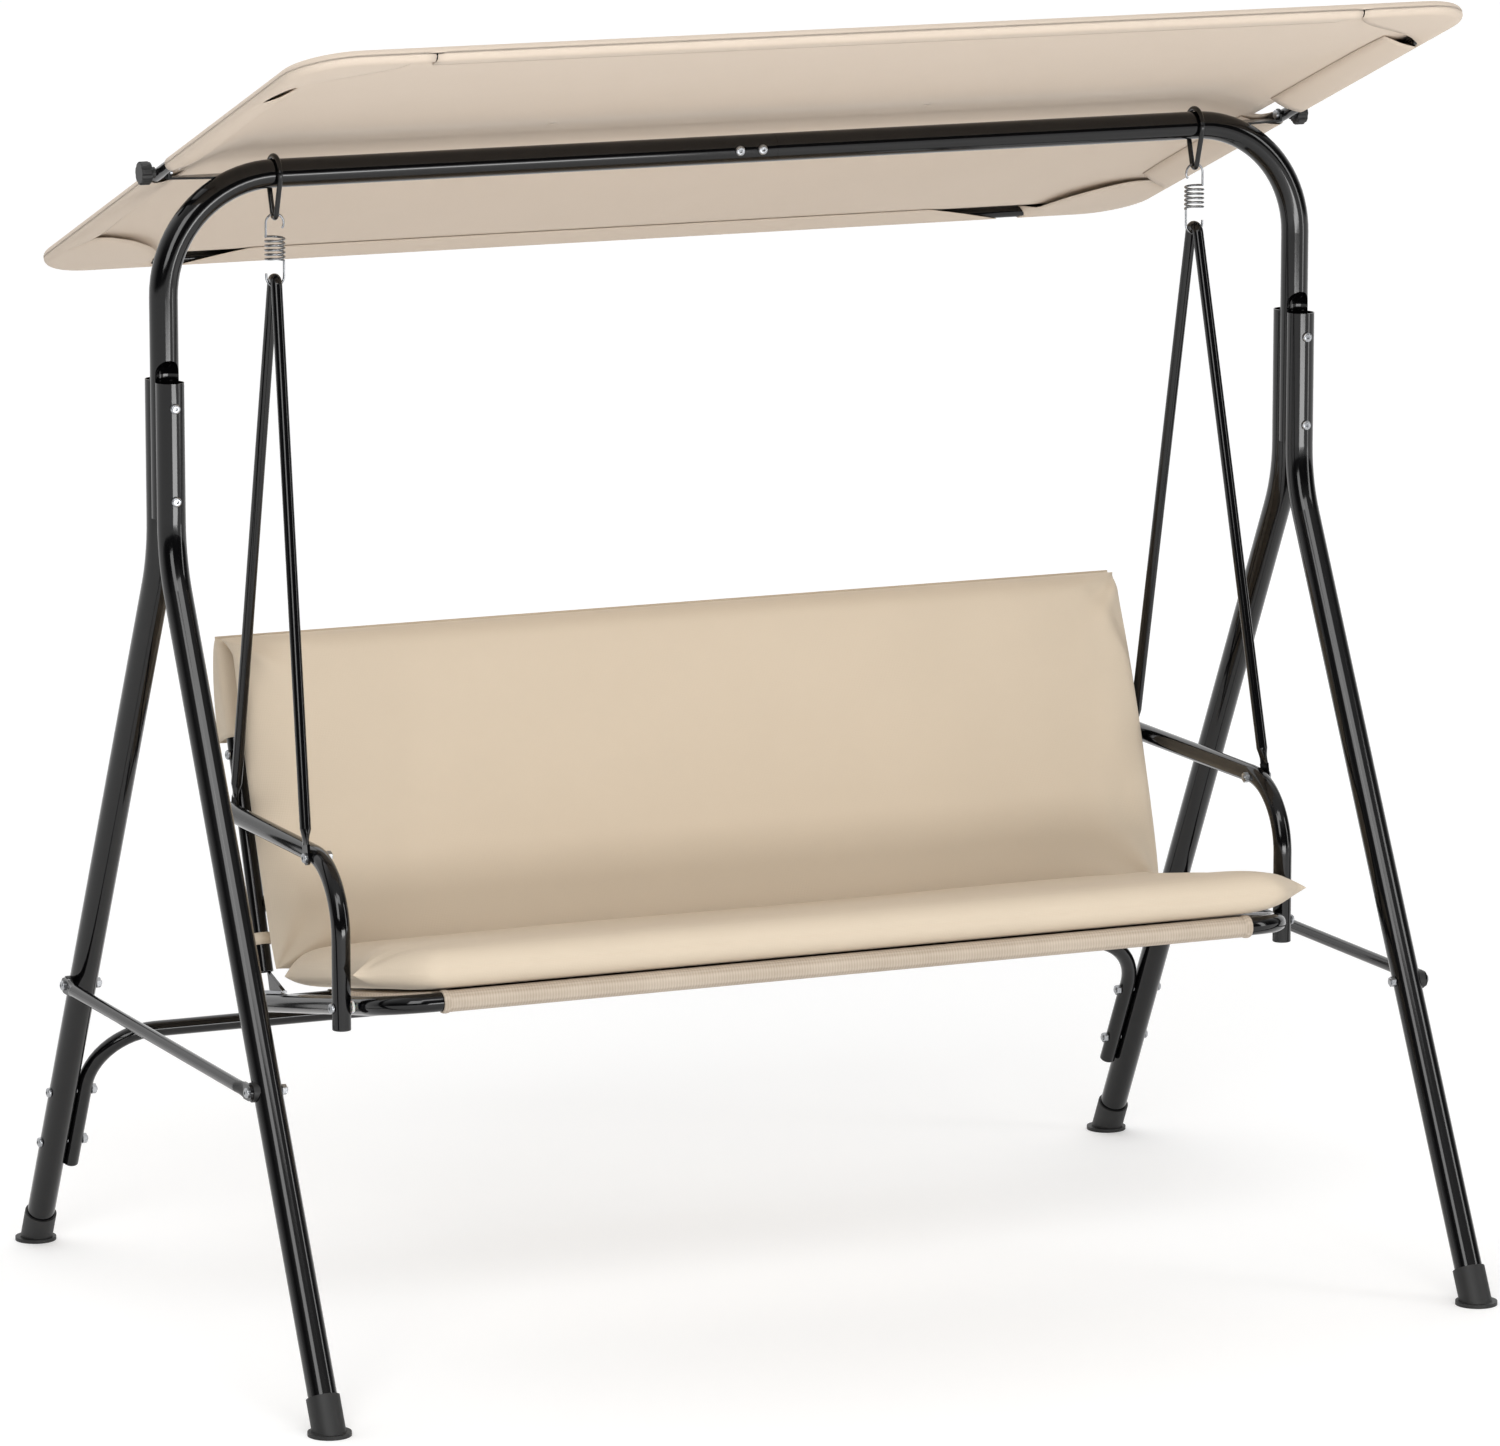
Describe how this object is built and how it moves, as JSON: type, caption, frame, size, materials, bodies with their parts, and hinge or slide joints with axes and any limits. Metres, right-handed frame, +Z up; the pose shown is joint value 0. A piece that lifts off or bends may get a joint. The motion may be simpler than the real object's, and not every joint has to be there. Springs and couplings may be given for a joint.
{
  "type": "glider swing",
  "caption": "Free-standing garden swing seat: tubular A-frame stand, seat hung on springs, tilting cloth canopy.",
  "frame": {"origin": "middle of the footprint of the four feet, on the ground", "axes": "+X across the width of the seat to the right of someone facing the swing, +Y from front to back, +Z up"},
  "size_m": [1.727, 1.189, 1.7667],
  "materials": {
    "black_powder_coat": "gloss black powder coat on steel tube",
    "black_loop_wire": "black coated steel wire",
    "zinc_plated_steel": "bright zinc plate",
    "zinc_spring_steel": "bright zinc plated spring wire",
    "black_rubber": "matt moulded rubber",
    "black_moulded_plastic": "fine-textured moulded plastic",
    "white_nylon": "natural nylon",
    "tan_mesh": "woven PVC-coated mesh",
    "beige_canopy_cloth": "plain-woven polyester",
    "beige_cushion_cloth": "plain-woven polyester cushion cover"
  },
  "bodies": {
    "stand": {"arch_joint_bolts": "zinc_plated_steel", "arch_left_half": "black_powder_coat", "arch_right_half": "black_powder_coat", "brace_bolts": "zinc_plated_steel", "brace_saddles": "black_moulded_plastic", "canopy_brackets": "black_powder_coat", "canopy_pivot_bolts": "zinc_plated_steel", "crossbar_bolts": "zinc_plated_steel", "left_front_boot": "black_rubber", "left_front_leg": "black_powder_coat", "left_rear_boot": "black_rubber", "left_rear_leg": "black_powder_coat", "left_side_brace": "black_powder_coat", "leg_bolts": "zinc_plated_steel", "rear_crossbar": "black_powder_coat", "right_front_boot": "black_rubber", "right_front_leg": "black_powder_coat", "right_rear_boot": "black_rubber", "right_rear_leg": "black_powder_coat", "right_side_brace": "black_powder_coat", "stand_nuts": "zinc_plated_steel"},
    "canopy": {"canopy_front_tube": "black_powder_coat", "canopy_rear_tube": "black_powder_coat", "canopy_side_tubes": "black_powder_coat", "canopy_fabric": "beige_canopy_cloth"},
    "hanger_loops": {"left_hanger_loop": "black_loop_wire", "right_hanger_loop": "black_loop_wire"},
    "springs": {"left_spring": "zinc_spring_steel", "right_spring": "zinc_spring_steel"},
    "left_knob": {"left_canopy_knob": "black_moulded_plastic"},
    "right_knob": {"right_canopy_knob": "black_moulded_plastic"},
    "seat": {"armrest_bolts": "zinc_plated_steel", "armrest_plugs": "black_moulded_plastic", "armrest_spacers": "white_nylon", "back_cushion": "beige_cushion_cloth", "back_frame_bolts": "zinc_plated_steel", "back_gussets": "black_powder_coat", "back_lower_bar": "black_powder_coat", "back_sling": "tan_mesh", "back_upper_frame": "black_powder_coat", "cushion_straps": "beige_cushion_cloth", "gusset_shims": "zinc_plated_steel", "hanger_bolts": "zinc_plated_steel", "left_armrest": "black_powder_coat", "left_back_post": "black_powder_coat", "left_hanger": "black_powder_coat", "right_armrest": "black_powder_coat", "right_back_post": "black_powder_coat", "right_hanger": "black_powder_coat", "seat_cushion": "beige_cushion_cloth", "seat_frame": "black_powder_coat", "seat_frame_plugs": "black_moulded_plastic", "seat_nuts": "zinc_plated_steel", "seat_rear_bar": "black_powder_coat", "seat_sling": "tan_mesh"}
  },
  "joints": [
    {"name": "swing", "type": "hinge", "parent": "stand", "child": "hanger_loops", "pos_m": [0, 0, 1.5475], "axis": [1, 0, 0], "range_deg": [-15, 15]},
    {"name": "hook_pivot", "type": "hinge", "parent": "hanger_loops", "child": "springs", "pos_m": [0, 0, 1.4943], "axis": [1, 0, 0], "range_deg": [-15, 15]},
    {"name": "spring_bounce", "type": "slide", "parent": "springs", "child": "seat", "axis": [0, 0, 1], "range_m": [-0.03, 0.008], "stiffness_N_per_m": 16000, "springref_m": 0.0162, "deforming": ["left_spring", "right_spring"]},
    {"name": "canopy_tilt", "type": "hinge", "parent": "stand", "child": "canopy", "pos_m": [0, 0.0228, 1.5535], "axis": [1, 0, 0], "range_deg": [-5, 40]},
    {"name": "left_knob_turn", "type": "hinge", "parent": "stand", "child": "left_knob", "pos_m": [-0.824, 0.0228, 1.5535], "axis": [-1, 0, 0], "range_deg": [0, 720]},
    {"name": "right_knob_turn", "type": "hinge", "parent": "stand", "child": "right_knob", "pos_m": [0.824, 0.0228, 1.5535], "axis": [1, 0, 0], "range_deg": [0, 720]}
  ]
}
